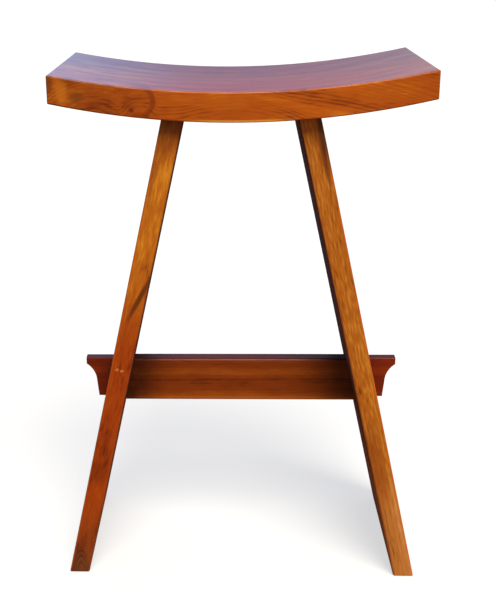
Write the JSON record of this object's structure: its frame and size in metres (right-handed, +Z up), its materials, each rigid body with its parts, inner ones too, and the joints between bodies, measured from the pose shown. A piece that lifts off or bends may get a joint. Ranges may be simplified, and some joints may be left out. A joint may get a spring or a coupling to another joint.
{
  "type": "bar stool",
  "caption": "Backless bar stool in solid teak: a hollowed plank seat on splayed plank legs, tied by a stretcher whose through tenons end as coved ears.",
  "frame": {"origin": "on the floor, below the middle of the seat", "axes": "+X along the seat to the sitter's right as seen from the front, +Y from the front edge to the back edge, +Z up"},
  "size_m": [0.517, 0.28, 0.7496],
  "materials": {
    "seat_teak": "glossy clear lacquer over teak, grain along the seat",
    "leg_teak": "satin lacquer over teak, grain along the leg",
    "stretcher_teak": "satin lacquer over darker red-brown teak",
    "pin_wood": "dark end grain, cut nearly flush",
    "dowel_wood": "bare turned hardwood"
  },
  "bodies": {
    "root": {"seat": "seat_teak", "left_leg": "leg_teak", "right_leg": "leg_teak", "stretcher": "stretcher_teak", "left_pin": "pin_wood", "right_pin": "pin_wood", "left_dowel_front": "dowel_wood", "left_dowel_middle": "dowel_wood", "left_dowel_back": "dowel_wood", "right_dowel_front": "dowel_wood", "right_dowel_middle": "dowel_wood", "right_dowel_back": "dowel_wood"}
  },
  "joints": []
}
